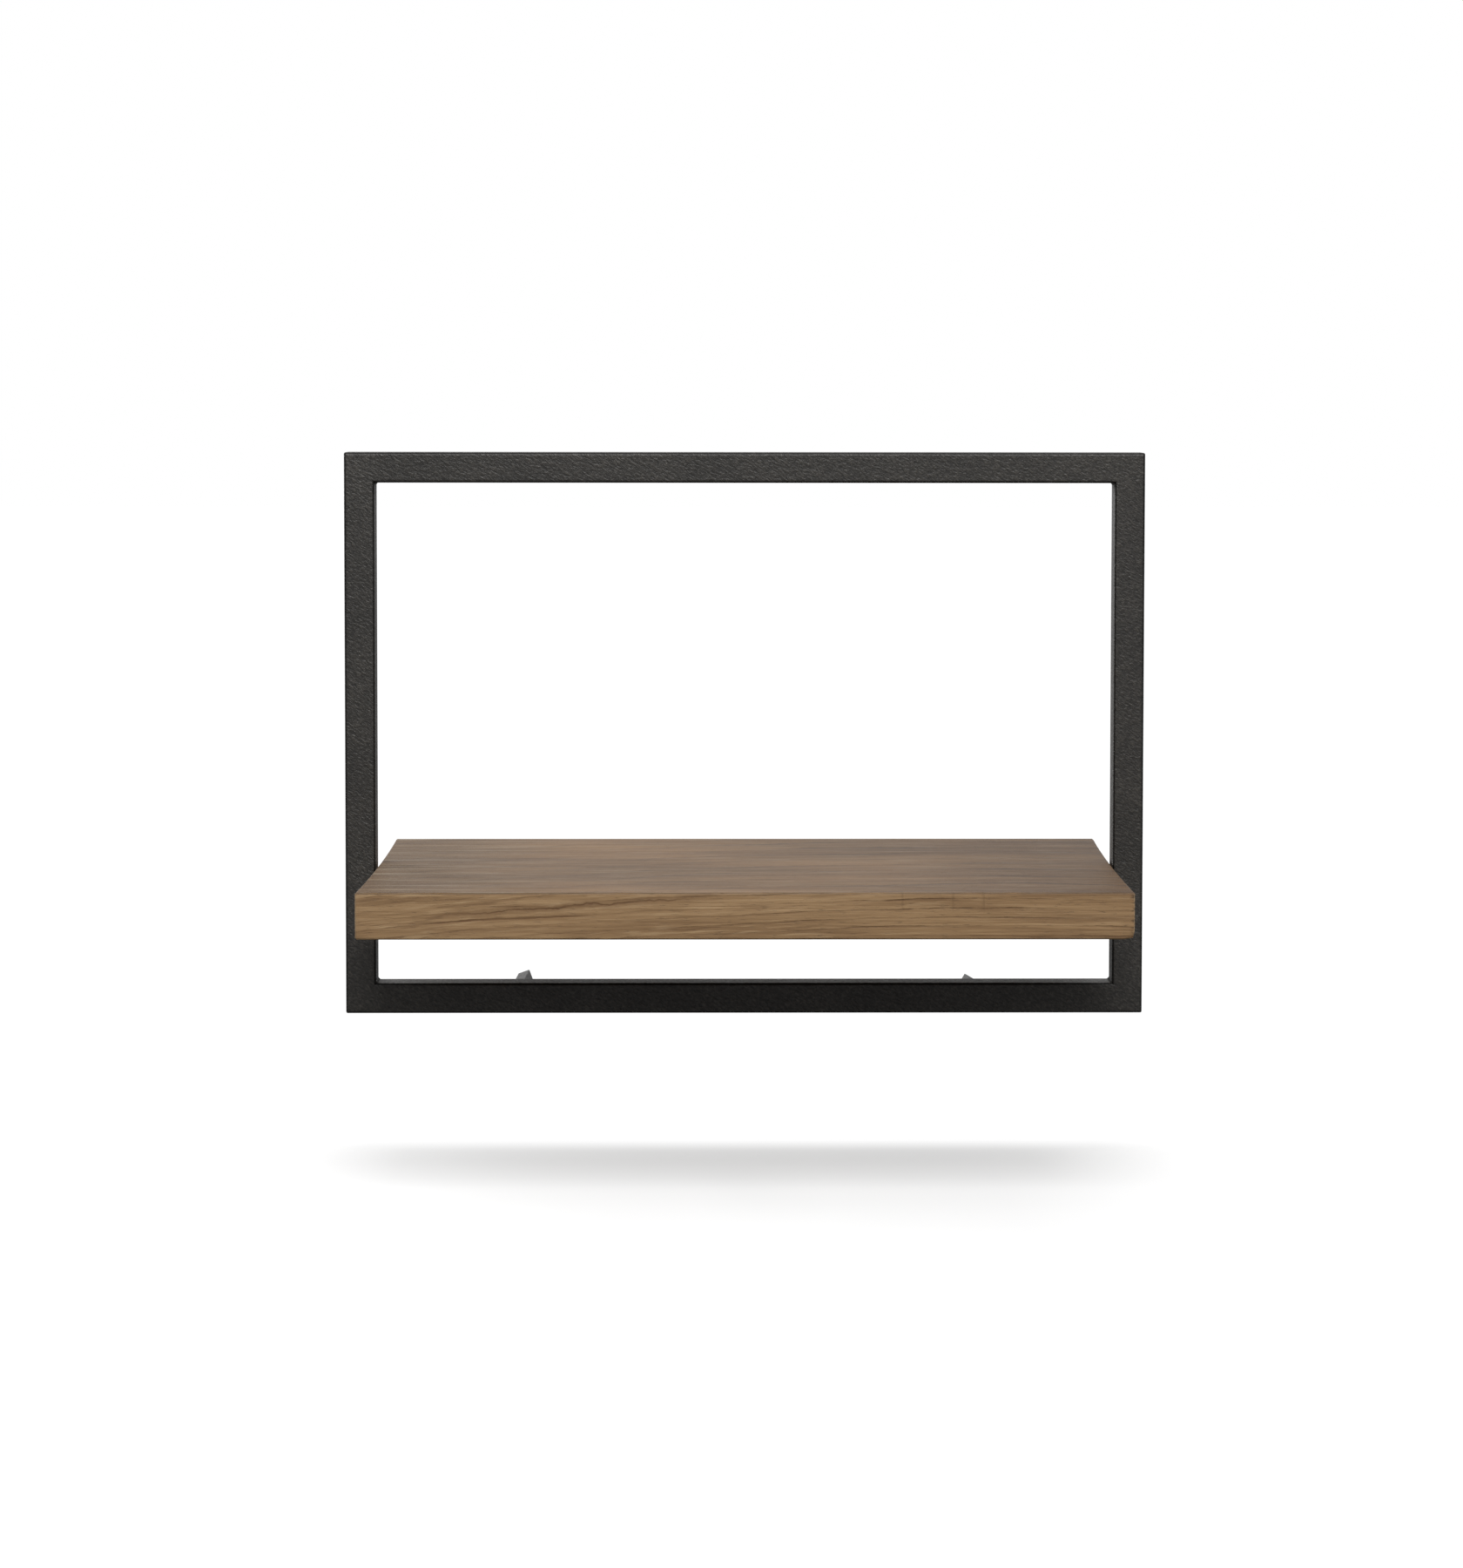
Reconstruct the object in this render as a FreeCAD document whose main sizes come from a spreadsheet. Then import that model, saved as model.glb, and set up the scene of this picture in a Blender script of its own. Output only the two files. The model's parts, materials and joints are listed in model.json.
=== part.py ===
import FreeCAD, Part
import math
import os
import Sketcher

# A wall shelf: one thick hardwood board held in a welded square-tube frame.
#
# Row frame, in millimetres: X to the right, Y towards the wall, Z up. The origin lies on the board's
# rear face, at half its thickness and in the frame's middle plane, so the wall is the plane Y = 0.
# Two keyhole plates in the board's rear edge hang the shelf on screws, and two steel bars behind the
# frame's bottom rail press on the wall.

PARTS = "parts"

# Driving dimensions: alias, value in mm (or degrees), meaning.
SIZES = [
    ("frame_width", 500, "frame over its outer faces"),
    ("frame_height", 352, "frame over its outer faces"),
    ("tube_side", 19, "square tube, outside"),
    ("tube_wall", 1.5, "square tube, wall"),
    ("tube_corner", 2, "outer corner radius of the tube's section"),
    ("frame_corner", 1.5, "ground radius of the frame's four outer corners"),
    ("wall_gap", 100, "from the back of the tubes to the wall"),
    ("board_width", 460.6, "board at its front and rear ends"),
    ("board_depth", 250, "board from front to wall"),
    ("board_thickness", 28, "board"),
    ("board_front_middle", -1.2, "middle of the board's front end, to the right of the frame's"),
    ("board_rear_middle", 1.9, "middle of the board's rear end, to the right of the frame's"),
    ("board_hollow", 1.7, "how far each side of the board is hollowed at mid depth"),
    ("board_ease", 1, "rounding of the board's edges"),
    ("board_lift", 67, "underside of the board above the frame's lowest face"),
    ("weld_leg", 1.5, "leg of the beads in the frame's inner corners"),
    ("cleat_length", 28, "cleat, from the upright's face to its free end"),
    ("cleat_thickness", 3, "cleat"),
    ("cleat_corner", 4, "corner radius of the cleat"),
    ("cleat_hole", 2.3, "radius of the cleat's screw hole"),
    ("cleat_hole_inset", 12, "hole centre from the cleat's free end"),
    ("cleat_weld_leg", 2.5, "leg of the bead under each cleat"),
    ("cleat_screw_length", 20, "screw under its head"),
    ("cleat_screw_shank", 2, "radius of the screw in the board"),
    ("cleat_screw_head", 3.8, "radius of the pan head"),
    ("cleat_screw_head_height", 2.4, "pan head"),
    ("keyhole_spacing", 320, "between the two keyhole plates' centres"),
    ("plate_width", 50, "keyhole plate"),
    ("plate_height", 20, "keyhole plate"),
    ("plate_thickness", 2, "keyhole plate"),
    ("plate_corner", 3, "corner radius of the plate"),
    ("keyhole_head", 4.5, "radius of the hole that the wall screw's head enters"),
    ("keyhole_drop", 4, "head hole's centre below the plate's centre"),
    ("keyhole_slot", 2.3, "half the slot's width"),
    ("keyhole_rise", 9, "from the head hole's centre to the slot's upper end centre"),
    ("pocket_depth", 11, "room for the wall screw's head, from the wall plane"),
    ("pocket_half", 5.5, "half the width of that room, the radius of its ends"),
    ("pocket_drop", 3.5, "its lower end's centre below the plate's centre"),
    ("pocket_rise", 4, "its upper end's centre above the plate's centre"),
    ("plate_screw_inset", 18, "plate screws from the plate's centre"),
    ("plate_screw_shank", 1.5, "radius of the plate screw"),
    ("plate_screw_head", 3, "radius of the countersunk head"),
    ("plate_screw_length", 16, "plate screw"),
    ("bar_side", 8, "square stand-off bar"),
    ("bar_corner", 0.6, "corner radius of the bar's section"),
    ("bar_root", 9.5, "bar's centre at the rail above the frame's lowest face"),
    ("left_bar_x", -143.1, "left bar's centre"),
    ("left_bar_tip", 2.9, "left bar's centre at the wall above the frame's lowest face"),
    ("left_bar_roll", 20, "how far the left bar is turned about its length"),
    ("right_bar_x", 148.8, "right bar's centre"),
    ("right_bar_tip", -0.3, "right bar's centre at the wall above the frame's lowest face"),
    ("right_bar_roll", -30, "how far the right bar is turned about its length"),
    ("bar_weld_leg", 1.5, "leg of the bead around each bar's root"),
    ("recess_arm", 1.7, "half the length of a screw's cross recess"),
    ("recess_half", 0.35, "half the width of a cross recess arm"),
    ("recess_depth", 1, "cross recess"),
    ("cut_margin", 1, "how far a cutting outline runs past the metal"),
]

# Places worked out from the driving dimensions, as expressions.
FRAME_FRONT = "(-Sizes.wall_gap - Sizes.tube_side)"
FRAME_MID_Y = "(-Sizes.wall_gap - Sizes.tube_side / 2)"
FRAME_BOTTOM = "(-Sizes.board_thickness / 2 - Sizes.board_lift)"
FRAME_TOP = f"({FRAME_BOTTOM} + Sizes.frame_height)"
FRAME_MID_Z = f"({FRAME_BOTTOM} + Sizes.frame_height / 2)"
HALF_WIDTH = "(Sizes.frame_width / 2)"
INNER_X = "(Sizes.frame_width / 2 - Sizes.tube_side)"
BOARD_UNDER = "(-Sizes.board_thickness / 2)"
TUBE_FLAT = "(Sizes.tube_side - 2 * Sizes.tube_corner)"
KEYHOLE_X = "(Sizes.keyhole_spacing / 2)"
HEAD_Z = "(-Sizes.keyhole_drop)"
SLOT_TOP_Z = "(Sizes.keyhole_rise - Sizes.keyhole_drop)"
CLEAT_SCREW_X = f"({INNER_X} - Sizes.cleat_length + Sizes.cleat_hole_inset)"

doc = FreeCAD.newDocument("WallShelf")
sheet = doc.addObject("Spreadsheet::Sheet", "Sizes")
for row, (alias, value, meaning) in enumerate(SIZES, start=1):
    sheet.set(f"A{row}", alias)
    sheet.set(f"B{row}", str(value))
    sheet.set(f"C{row}", meaning)
    sheet.setAlias(f"B{row}", alias)
doc.recompute()

NO_TURN = FreeCAD.Rotation()


def turned(axis, degrees):
    """A rotation about a named axis."""
    return FreeCAD.Rotation(FreeCAD.Vector(*axis), degrees)


def size_of(expression):
    """The present value of an expression in the sheet's sizes."""
    value = sheet.evalExpression(expression)
    return float(getattr(value, "Value", value))


def place(thing, at, rotation=NO_TURN):
    """Put a sub-part's own origin at three expressions, turned by a rotation."""
    thing.Placement = FreeCAD.Placement(FreeCAD.Vector(), rotation)
    for axis, expression in zip("xyz", at):
        thing.setExpression(f"Placement.Base.{axis}", expression)


def new_body(name):
    body = doc.addObject("PartDesign::Body", name)
    body.Label = name
    return body


def new_sketch(body, name, plane, offset="0", roll="0"):
    """A sketch on one of the body's own origin planes, moved along the plane's normal."""
    sketch = body.newObject("Sketcher::SketchObject", f"{body.Name}_{name}")
    support = [p for p in body.Origin.OriginFeatures if p.Role == plane][0]
    sketch.AttachmentSupport = (support, [""])
    sketch.MapMode = "FlatFace"
    turn = turned((0, 0, 1), size_of(roll))
    sketch.AttachmentOffset = FreeCAD.Placement(FreeCAD.Vector(), turn)
    sketch.setExpression("AttachmentOffset.Base.z", offset)
    if roll != "0":
        sketch.setExpression("AttachmentOffset.Rotation.Angle", roll)
    return sketch


def bind(sketch, kind, *references, to):
    """Add a dimension to a sketch and drive it from the sheet."""
    index = sketch.addConstraint(Sketcher.Constraint(kind, *references, size_of(to)))
    sketch.setExpression(f"Constraints[{index}]", to)


def outline(sketch, points, arcs=None):
    """A closed outline through points given as expressions, with each corner dimensioned.

    arcs says which sides are round: side number to (radius, bulge), where bulge is +1 for an arc
    that bows to the left of the way along the outline and -1 for one that bows to the right, and
    a third value of True marks an arc of more than half a circle. A radius of None makes the side
    a half circle.
    """
    arcs = arcs or {}
    spots = [FreeCAD.Vector(size_of(x), size_of(y), 0) for x, y in points]
    ends = []
    for side, start in enumerate(spots):
        finish = spots[(side + 1) % len(spots)]
        if side not in arcs:
            number = sketch.addGeometry(Part.LineSegment(start, finish))
            ends.append((number, 1, 2))
            continue
        radius, bulge, *large = arcs[side]
        chord = finish - start
        reach = chord.Length / 2 if radius is None else size_of(radius)
        left = FreeCAD.Vector(-chord.y, chord.x, 0).normalize()
        rise = math.sqrt(max(reach ** 2 - chord.Length ** 2 / 4, 0))
        if not large:
            rise = -rise
        centre = (start + finish) / 2 + left * bulge * rise
        ring = Part.Circle(centre, FreeCAD.Vector(0, 0, 1), reach)
        from_angle = math.atan2(start.y - centre.y, start.x - centre.x)
        to_angle = math.atan2(finish.y - centre.y, finish.x - centre.x)
        if bulge < 0:
            number = sketch.addGeometry(Part.ArcOfCircle(ring, from_angle, to_angle))
            ends.append((number, 1, 2))
        else:
            number = sketch.addGeometry(Part.ArcOfCircle(ring, to_angle, from_angle))
            ends.append((number, 2, 1))
    for side, (number, first, last) in enumerate(ends):
        following, their_first, _ = ends[(side + 1) % len(ends)]
        join = Sketcher.Constraint("Coincident", number, last, following, their_first)
        sketch.addConstraint(join)
        bind(sketch, "DistanceX", -1, 1, number, first, to=points[side][0])
        bind(sketch, "DistanceY", -1, 1, number, first, to=points[side][1])
        if side in arcs and arcs[side][0] is None:
            halves = Sketcher.Constraint("Symmetric", number, first, number, last, number, 3)
            sketch.addConstraint(halves)
        elif side in arcs:
            bind(sketch, "Radius", number, to=arcs[side][0])


def rectangle(sketch, width, height, corner=None, centre=("0", "0")):
    """A rectangle about a centre, with rounded corners when corner is given."""
    x, y = centre
    if corner is None:
        steps = [(1, -1), (1, 1), (-1, 1), (-1, -1)]
        points = [(f"{x} + {i} * {width} / 2", f"{y} + {j} * {height} / 2") for i, j in steps]
        outline(sketch, points)
        return
    points = []
    for i, j, across_first in [(1, -1, True), (1, 1, False), (-1, 1, True), (-1, -1, False)]:
        near = (f"{x} + {i} * ({width} / 2 - {corner})", f"{y} + {j} * {height} / 2")
        far = (f"{x} + {i} * {width} / 2", f"{y} + {j} * ({height} / 2 - {corner})")
        points += [near, far] if across_first else [far, near]
    outline(sketch, points, {side: (corner, -1) for side in (0, 2, 4, 6)})


def circle(sketch, radius, centre=("0", "0")):
    spot = FreeCAD.Vector(size_of(centre[0]), size_of(centre[1]), 0)
    ring = Part.Circle(spot, FreeCAD.Vector(0, 0, 1), size_of(radius))
    number = sketch.addGeometry(ring)
    bind(sketch, "Radius", number, to=radius)
    bind(sketch, "DistanceX", -1, 1, number, 3, to=centre[0])
    bind(sketch, "DistanceY", -1, 1, number, 3, to=centre[1])


def pad(body, sketch, length, symmetric=False, away=False):
    """Grow a sketch along its normal, or the other way when away is set."""
    feature = body.newObject("PartDesign::Pad", f"{sketch.Name}_pad")
    feature.Profile = sketch
    feature.setExpression("Length", length)
    if symmetric:
        feature.SideType = "Symmetric"
    feature.Reversed = away
    doc.recompute()
    return feature


def pocket(body, sketch, depth=None, forward=False, taper=None):
    """Cut a sketch against its normal, or along it when forward is set.

    With no depth it cuts right through, both ways. The body has to lose volume.
    """
    before = body.Shape.Volume
    feature = body.newObject("PartDesign::Pocket", f"{sketch.Name}_cut")
    feature.Profile = sketch
    feature.Reversed = forward
    if depth is None:
        feature.Type = "ThroughAll"
        feature.SideType = "Symmetric"
    else:
        feature.setExpression("Length", depth)
    if taper is not None:
        feature.TaperAngle = taper
    doc.recompute()
    if body.Shape.Volume >= before - 0.01:
        raise RuntimeError(f"{feature.Name} removed nothing")
    return feature


def mitred_tube(name, length, at, rotation):
    """A length of square tube with both ends mitred towards its inner face.

    Its own frame: X along the tube from the middle, Y from its front face back, Z from the
    frame's outer face in.
    """
    body = new_body(name)
    section = new_sketch(body, "section", "YZ_Plane")
    middle = ("Sizes.tube_side / 2", "Sizes.tube_side / 2")
    rectangle(section, "Sizes.tube_side", "Sizes.tube_side", "Sizes.tube_corner", middle)
    bore = "(Sizes.tube_side - 2 * Sizes.tube_wall)"
    rectangle(section, bore, bore, "(Sizes.tube_corner - Sizes.tube_wall)", middle)
    pad(body, section, length, symmetric=True)

    ends = new_sketch(body, "mitres", "XZ_Plane")
    turn = "Sizes.frame_corner"
    margin = "Sizes.cut_margin"
    for side in (1, -1):
        half = f"{length} / 2"
        tip = f"{turn} * (1 - sqrt(2) / 2)"
        points = [
            (f"{side} * ({half} - {turn})", "0"),
            (f"{side} * ({half} - {tip})", tip),
            (f"{side} * ({half} - Sizes.tube_side - {margin})", f"Sizes.tube_side + {margin}"),
            (f"{side} * ({half} + {margin})", f"Sizes.tube_side + {margin}"),
            (f"{side} * ({half} + {margin})", f"-{margin}"),
            (f"{side} * ({half} - {turn})", f"-{margin}"),
        ]
        outline(ends, points, {0: (turn, -side)})
    pocket(body, ends)
    place(body, at, rotation)
    return body


def fillet_weld(name, leg, at, rotation):
    """A straight bead in a right-angled corner, along Y, with its legs along +X and +Z."""
    body = new_body(name)
    section = new_sketch(body, "section", "XZ_Plane")
    outline(section, [("0", "0"), (leg, "0"), ("0", leg)], {1: (f"2 * {leg}", 1)})
    pad(body, section, TUBE_FLAT, symmetric=True)
    place(body, at, rotation)
    return body


def cross_recess(body):
    """The cross that a screwdriver fits, in a head whose top is at Z = 0."""
    arm, half = "Sizes.recess_arm", "Sizes.recess_half"
    sketch = new_sketch(body, "recess", "XY_Plane")
    points = [
        (half, half), (half, arm), (f"-{half}", arm), (f"-{half}", half),
        (f"-{arm}", half), (f"-{arm}", f"-{half}"), (f"-{half}", f"-{half}"),
        (f"-{half}", f"-{arm}"), (half, f"-{arm}"), (half, f"-{half}"),
        (arm, f"-{half}"), (arm, half),
    ]
    outline(sketch, points)
    pocket(body, sketch, "Sizes.recess_depth")


def screw(name, profile, arcs, at, rotation):
    """A wood screw turned from a half profile in X and Z, head at Z = 0 and point downwards."""
    body = new_body(name)
    sketch = new_sketch(body, "profile", "XZ_Plane")
    outline(sketch, profile, arcs)
    turning = body.newObject("PartDesign::Revolution", f"{name}_turning")
    turning.Profile = sketch
    turning.ReferenceAxis = (sketch, ["V_Axis"])
    turning.Angle = 360
    doc.recompute()
    cross_recess(body)
    place(body, at, rotation)
    return body


def group(name, members):
    """Identical fasteners, kept as separate solids in one sub-part."""
    compound = doc.addObject("Part::Compound", name)
    compound.Label = name
    compound.Links = members
    doc.recompute()
    return compound


def tube_frame():
    """Four mitred tubes, and the bead in each inner corner."""
    low, high, middle = FRAME_BOTTOM, FRAME_TOP, FRAME_MID_Z
    left = f"-{HALF_WIDTH}"
    wide, tall = "Sizes.frame_width", "Sizes.frame_height"
    tubes = [
        mitred_tube("bottom_rail", wide, ("0", FRAME_FRONT, low), NO_TURN),
        mitred_tube("top_rail", wide, ("0", FRAME_FRONT, high), turned((0, 1, 0), 180)),
        mitred_tube("left_upright", tall, (left, FRAME_FRONT, middle), turned((0, 1, 0), 90)),
        mitred_tube("right_upright", tall, (HALF_WIDTH, FRAME_FRONT, middle),
                    turned((0, 1, 0), -90)),
    ]
    inner_low = f"{FRAME_BOTTOM} + Sizes.tube_side"
    inner_high = f"{FRAME_TOP} - Sizes.tube_side"
    corners = [
        ("corner_weld_bottom_left", f"-{INNER_X}", inner_low, NO_TURN),
        ("corner_weld_bottom_right", INNER_X, inner_low, turned((0, 0, 1), 180)),
        ("corner_weld_top_left", f"-{INNER_X}", inner_high, turned((1, 0, 0), 180)),
        ("corner_weld_top_right", INNER_X, inner_high, turned((0, 1, 0), 180)),
    ]
    welds = [
        fillet_weld(name, "Sizes.weld_leg", (x, FRAME_MID_Y, z), rotation)
        for name, x, z, rotation in corners
    ]
    return tubes + welds


def shelf_board():
    """The board: hollow sides cut a little askew, eased edges, and what is cut into it."""
    body = new_body("shelf_board")
    plan = new_sketch(body, "plan", "XY_Plane")
    half, front = "Sizes.board_width / 2", "-Sizes.board_depth"
    ahead, behind = "Sizes.board_front_middle", "Sizes.board_rear_middle"
    bow = "(Sizes.board_depth ^ 2 / 4 + Sizes.board_hollow ^ 2) / (2 * Sizes.board_hollow)"
    points = [
        (f"{ahead} - {half}", front), (f"{ahead} + {half}", front),
        (f"{behind} + {half}", "0"), (f"{behind} - {half}", "0"),
    ]
    outline(plan, points, {1: (bow, 1), 3: (bow, 1)})
    slab = pad(body, plan, "Sizes.board_thickness", symmetric=True)
    easing = body.newObject("PartDesign::Fillet", "shelf_board_easing")
    easing.Base = (slab, [""])
    easing.UseAllEdges = True
    easing.setExpression("Radius", "Sizes.board_ease")
    doc.recompute()

    recess = new_sketch(body, "plate_recess", "XZ_Plane")
    room = new_sketch(body, "head_room", "XZ_Plane")
    pilots = new_sketch(body, "plate_pilots", "XZ_Plane")
    for side in (1, -1):
        x = f"{side} * {KEYHOLE_X}"
        rectangle(recess, "Sizes.plate_width", "Sizes.plate_height", "Sizes.plate_corner", (x, "0"))
        near, far = f"{x} - Sizes.pocket_half", f"{x} + Sizes.pocket_half"
        low, high = "-Sizes.pocket_drop", "Sizes.pocket_rise"
        points = [(far, low), (far, high), (near, high), (near, low)]
        outline(room, points, {1: (None, -1), 3: (None, -1)})
        for hole in (1, -1):
            inset = f"{hole} * Sizes.plate_screw_inset"
            circle(pilots, "Sizes.plate_screw_shank", (f"{x} + {inset}", "0"))
    pocket(body, recess, "Sizes.plate_thickness", forward=True)
    pocket(body, room, "Sizes.pocket_depth", forward=True)
    pocket(body, pilots, "Sizes.plate_screw_length", forward=True)

    holes = new_sketch(body, "cleat_pilots", "XY_Plane", BOARD_UNDER)
    for side in (1, -1):
        circle(holes, "Sizes.cleat_screw_shank", (f"{side} * {CLEAT_SCREW_X}", FRAME_MID_Y))
    depth = "Sizes.cleat_screw_length - Sizes.cleat_thickness"
    pocket(body, holes, depth, forward=True)
    place(body, ("0", "0", "0"))
    return [body]


def cleat(name, at, rotation):
    """A flat tab welded to an upright. Its own frame: the welded end at X = 0, its top at Z = 0."""
    body = new_body(name)
    plan = new_sketch(body, "plan", "XY_Plane")
    half = f"{TUBE_FLAT} / 2"
    length, corner = "Sizes.cleat_length", "Sizes.cleat_corner"
    points = [
        ("0", f"-{half}"), ("0", half), (f"-({length} - {corner})", half),
        (f"-{length}", f"{half} - {corner}"), (f"-{length}", f"-({half} - {corner})"),
        (f"-({length} - {corner})", f"-{half}"),
    ]
    outline(plan, points, {2: (corner, 1), 4: (corner, 1)})
    circle(plan, "Sizes.cleat_hole", (f"-({length} - Sizes.cleat_hole_inset)", "0"))
    pad(body, plan, "Sizes.cleat_thickness", away=True)
    place(body, at, rotation)
    return body


def board_cleats():
    """The two tabs that carry the board, their beads, and the screws up into the board."""
    under = f"{BOARD_UNDER} - Sizes.cleat_thickness"
    left = f"-{INNER_X}"
    cleats = [
        cleat("left_cleat", (left, FRAME_MID_Y, BOARD_UNDER), turned((0, 0, 1), 180)),
        cleat("right_cleat", (INNER_X, FRAME_MID_Y, BOARD_UNDER), NO_TURN),
    ]
    leg = "Sizes.cleat_weld_leg"
    welds = [
        fillet_weld("left_cleat_weld", leg, (left, FRAME_MID_Y, under), turned((1, 0, 0), 180)),
        fillet_weld("right_cleat_weld", leg, (INNER_X, FRAME_MID_Y, under),
                    turned((0, 1, 0), 180)),
    ]
    head, high = "Sizes.cleat_screw_head", "Sizes.cleat_screw_head_height"
    shank, length = "Sizes.cleat_screw_shank", "Sizes.cleat_screw_length"
    dome = f"{high} / 2"
    profile = [
        ("0", "0"), (f"{head} - {dome}", "0"), (head, f"-{dome}"), (head, f"-{high}"),
        (shank, f"-{high}"), (shank, f"-({high} + {length} - 2 * {shank})"),
        ("0", f"-({high} + {length})"),
    ]
    screws = []
    for number, side in enumerate((-1, 1), start=1):
        at = (f"{side} * {CLEAT_SCREW_X}", FRAME_MID_Y, f"{under} - {high}")
        name = f"cleat_screw_{number}"
        screws.append(screw(name, profile, {1: (dome, 1)}, at, turned((1, 0, 0), 180)))
    return cleats + welds + [group("cleat_screws", screws)]


def keyhole_plate(name, at):
    """A plate let in flush with the wall plane, its back 2 mm deeper."""
    body = new_body(name)
    face = new_sketch(body, "face", "XZ_Plane")
    rectangle(face, "Sizes.plate_width", "Sizes.plate_height", "Sizes.plate_corner")
    slot, head = "Sizes.keyhole_slot", "Sizes.keyhole_head"
    neck = f"{HEAD_Z} + sqrt({head} ^ 2 - {slot} ^ 2)"
    points = [
        (slot, neck), (slot, SLOT_TOP_Z), (f"-{slot}", SLOT_TOP_Z), (f"-{slot}", neck),
    ]
    outline(face, points, {1: (None, -1), 3: (head, -1, True)})
    for side in (1, -1):
        circle(face, "Sizes.plate_screw_shank", (f"{side} * Sizes.plate_screw_inset", "0"))
    pad(body, face, "Sizes.plate_thickness")
    sinks = new_sketch(body, "countersinks", "XZ_Plane")
    for side in (1, -1):
        circle(sinks, "Sizes.plate_screw_head", (f"{side} * Sizes.plate_screw_inset", "0"))
    sink_depth = "Sizes.plate_screw_head - Sizes.plate_screw_shank"
    pocket(body, sinks, sink_depth, forward=True, taper=-45)
    place(body, at)
    return body


def wall_hangers():
    """Two keyhole plates in the board's rear edge, and their four screws."""
    plates = [
        keyhole_plate("left_keyhole_plate", (f"-{KEYHOLE_X}", "0", "0")),
        keyhole_plate("right_keyhole_plate", (KEYHOLE_X, "0", "0")),
    ]
    head, shank = "Sizes.plate_screw_head", "Sizes.plate_screw_shank"
    length = "Sizes.plate_screw_length"
    profile = [
        ("0", "0"), (head, "0"), (shank, f"-({head} - {shank})"),
        (shank, f"-({length} - 2 * {shank})"), ("0", f"-{length}"),
    ]
    screws = []
    for plate in (-1, 1):
        for side in (-1, 1):
            x = f"{plate} * {KEYHOLE_X} + {side} * Sizes.plate_screw_inset"
            name = f"keyhole_screw_{len(screws) + 1}"
            screws.append(screw(name, profile, {}, (x, "0", "0"), turned((1, 0, 0), -90)))
    return plates + [group("keyhole_screws", screws)]


def oblique_bar(name, side_length, corner, roll, drop, length):
    """A square bar that keeps its section upright while it slopes down by drop over length.

    Its own frame: the root's centre at the origin, Y along the bar.
    """
    body = new_body(name)
    section = new_sketch(body, "section", "XZ_Plane", roll=roll)
    rectangle(section, side_length, side_length, corner)
    feature = pad(body, section, length, away=True)
    feature.UseCustomVector = True
    feature.AlongSketchNormal = True
    run = size_of("Sizes.wall_gap")
    feature.Direction = FreeCAD.Vector(0, -run, size_of(drop))
    feature.setExpression("Direction.y", "-Sizes.wall_gap")
    feature.setExpression("Direction.z", drop)
    doc.recompute()
    return body


def stand_off(side):
    """A bar from the bottom rail back to the wall, and the bead around its root."""
    drop = f"(Sizes.bar_root - Sizes.{side}_bar_tip)"
    roll = f"Sizes.{side}_bar_roll"
    at = (f"Sizes.{side}_bar_x", "-Sizes.wall_gap", f"{FRAME_BOTTOM} + Sizes.bar_root")
    bar = oblique_bar(f"{side}_standoff", "Sizes.bar_side", "Sizes.bar_corner", roll, drop,
                      "Sizes.wall_gap")
    place(bar, at)

    bead = new_body(f"{side}_standoff_bead")
    base = new_sketch(bead, "base", "XZ_Plane", roll=roll)
    broad = "(Sizes.bar_side + 2 * Sizes.bar_weld_leg)"
    rectangle(base, broad, broad, "(Sizes.bar_corner + Sizes.bar_weld_leg)")
    cone = pad(bead, base, "Sizes.bar_weld_leg", away=True)
    cone.TaperAngle = -40
    doc.recompute()
    place(bead, at)
    weld = doc.addObject("Part::Cut", f"{side}_standoff_weld")
    weld.Label = f"{side}_standoff_weld"
    weld.Base = bead
    weld.Tool = bar
    doc.recompute()
    return [bar, weld]


sub_parts = tube_frame() + shelf_board() + board_cleats() + wall_hangers()
for hand in ("left", "right"):
    sub_parts += stand_off(hand)
doc.recompute()

for thing in doc.Objects:
    if "Invalid" in thing.State or "Error" in thing.State:
        raise RuntimeError(f"{thing.Name} is {thing.State}")
for thing in sub_parts:
    if thing.Shape.isNull() or not thing.Shape.isValid():
        raise RuntimeError(f"{thing.Label} has no valid shape")

os.makedirs(PARTS, exist_ok=True)
for thing in sub_parts:
    thing.Shape.exportStep(f"{PARTS}/{thing.Label}.step")
    box = thing.Shape.BoundBox
    print(f"{thing.Label:26} solids {len(thing.Shape.Solids)} volume {thing.Shape.Volume:10.1f}  "
          f"X {box.XMin:7.1f} {box.XMax:7.1f}  Y {box.YMin:7.1f} {box.YMax:6.1f}  "
          f"Z {box.ZMin:7.1f} {box.ZMax:6.1f}")
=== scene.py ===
import json
import math

import bmesh
import bpy
from mathutils import Matrix, Vector, noise


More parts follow.
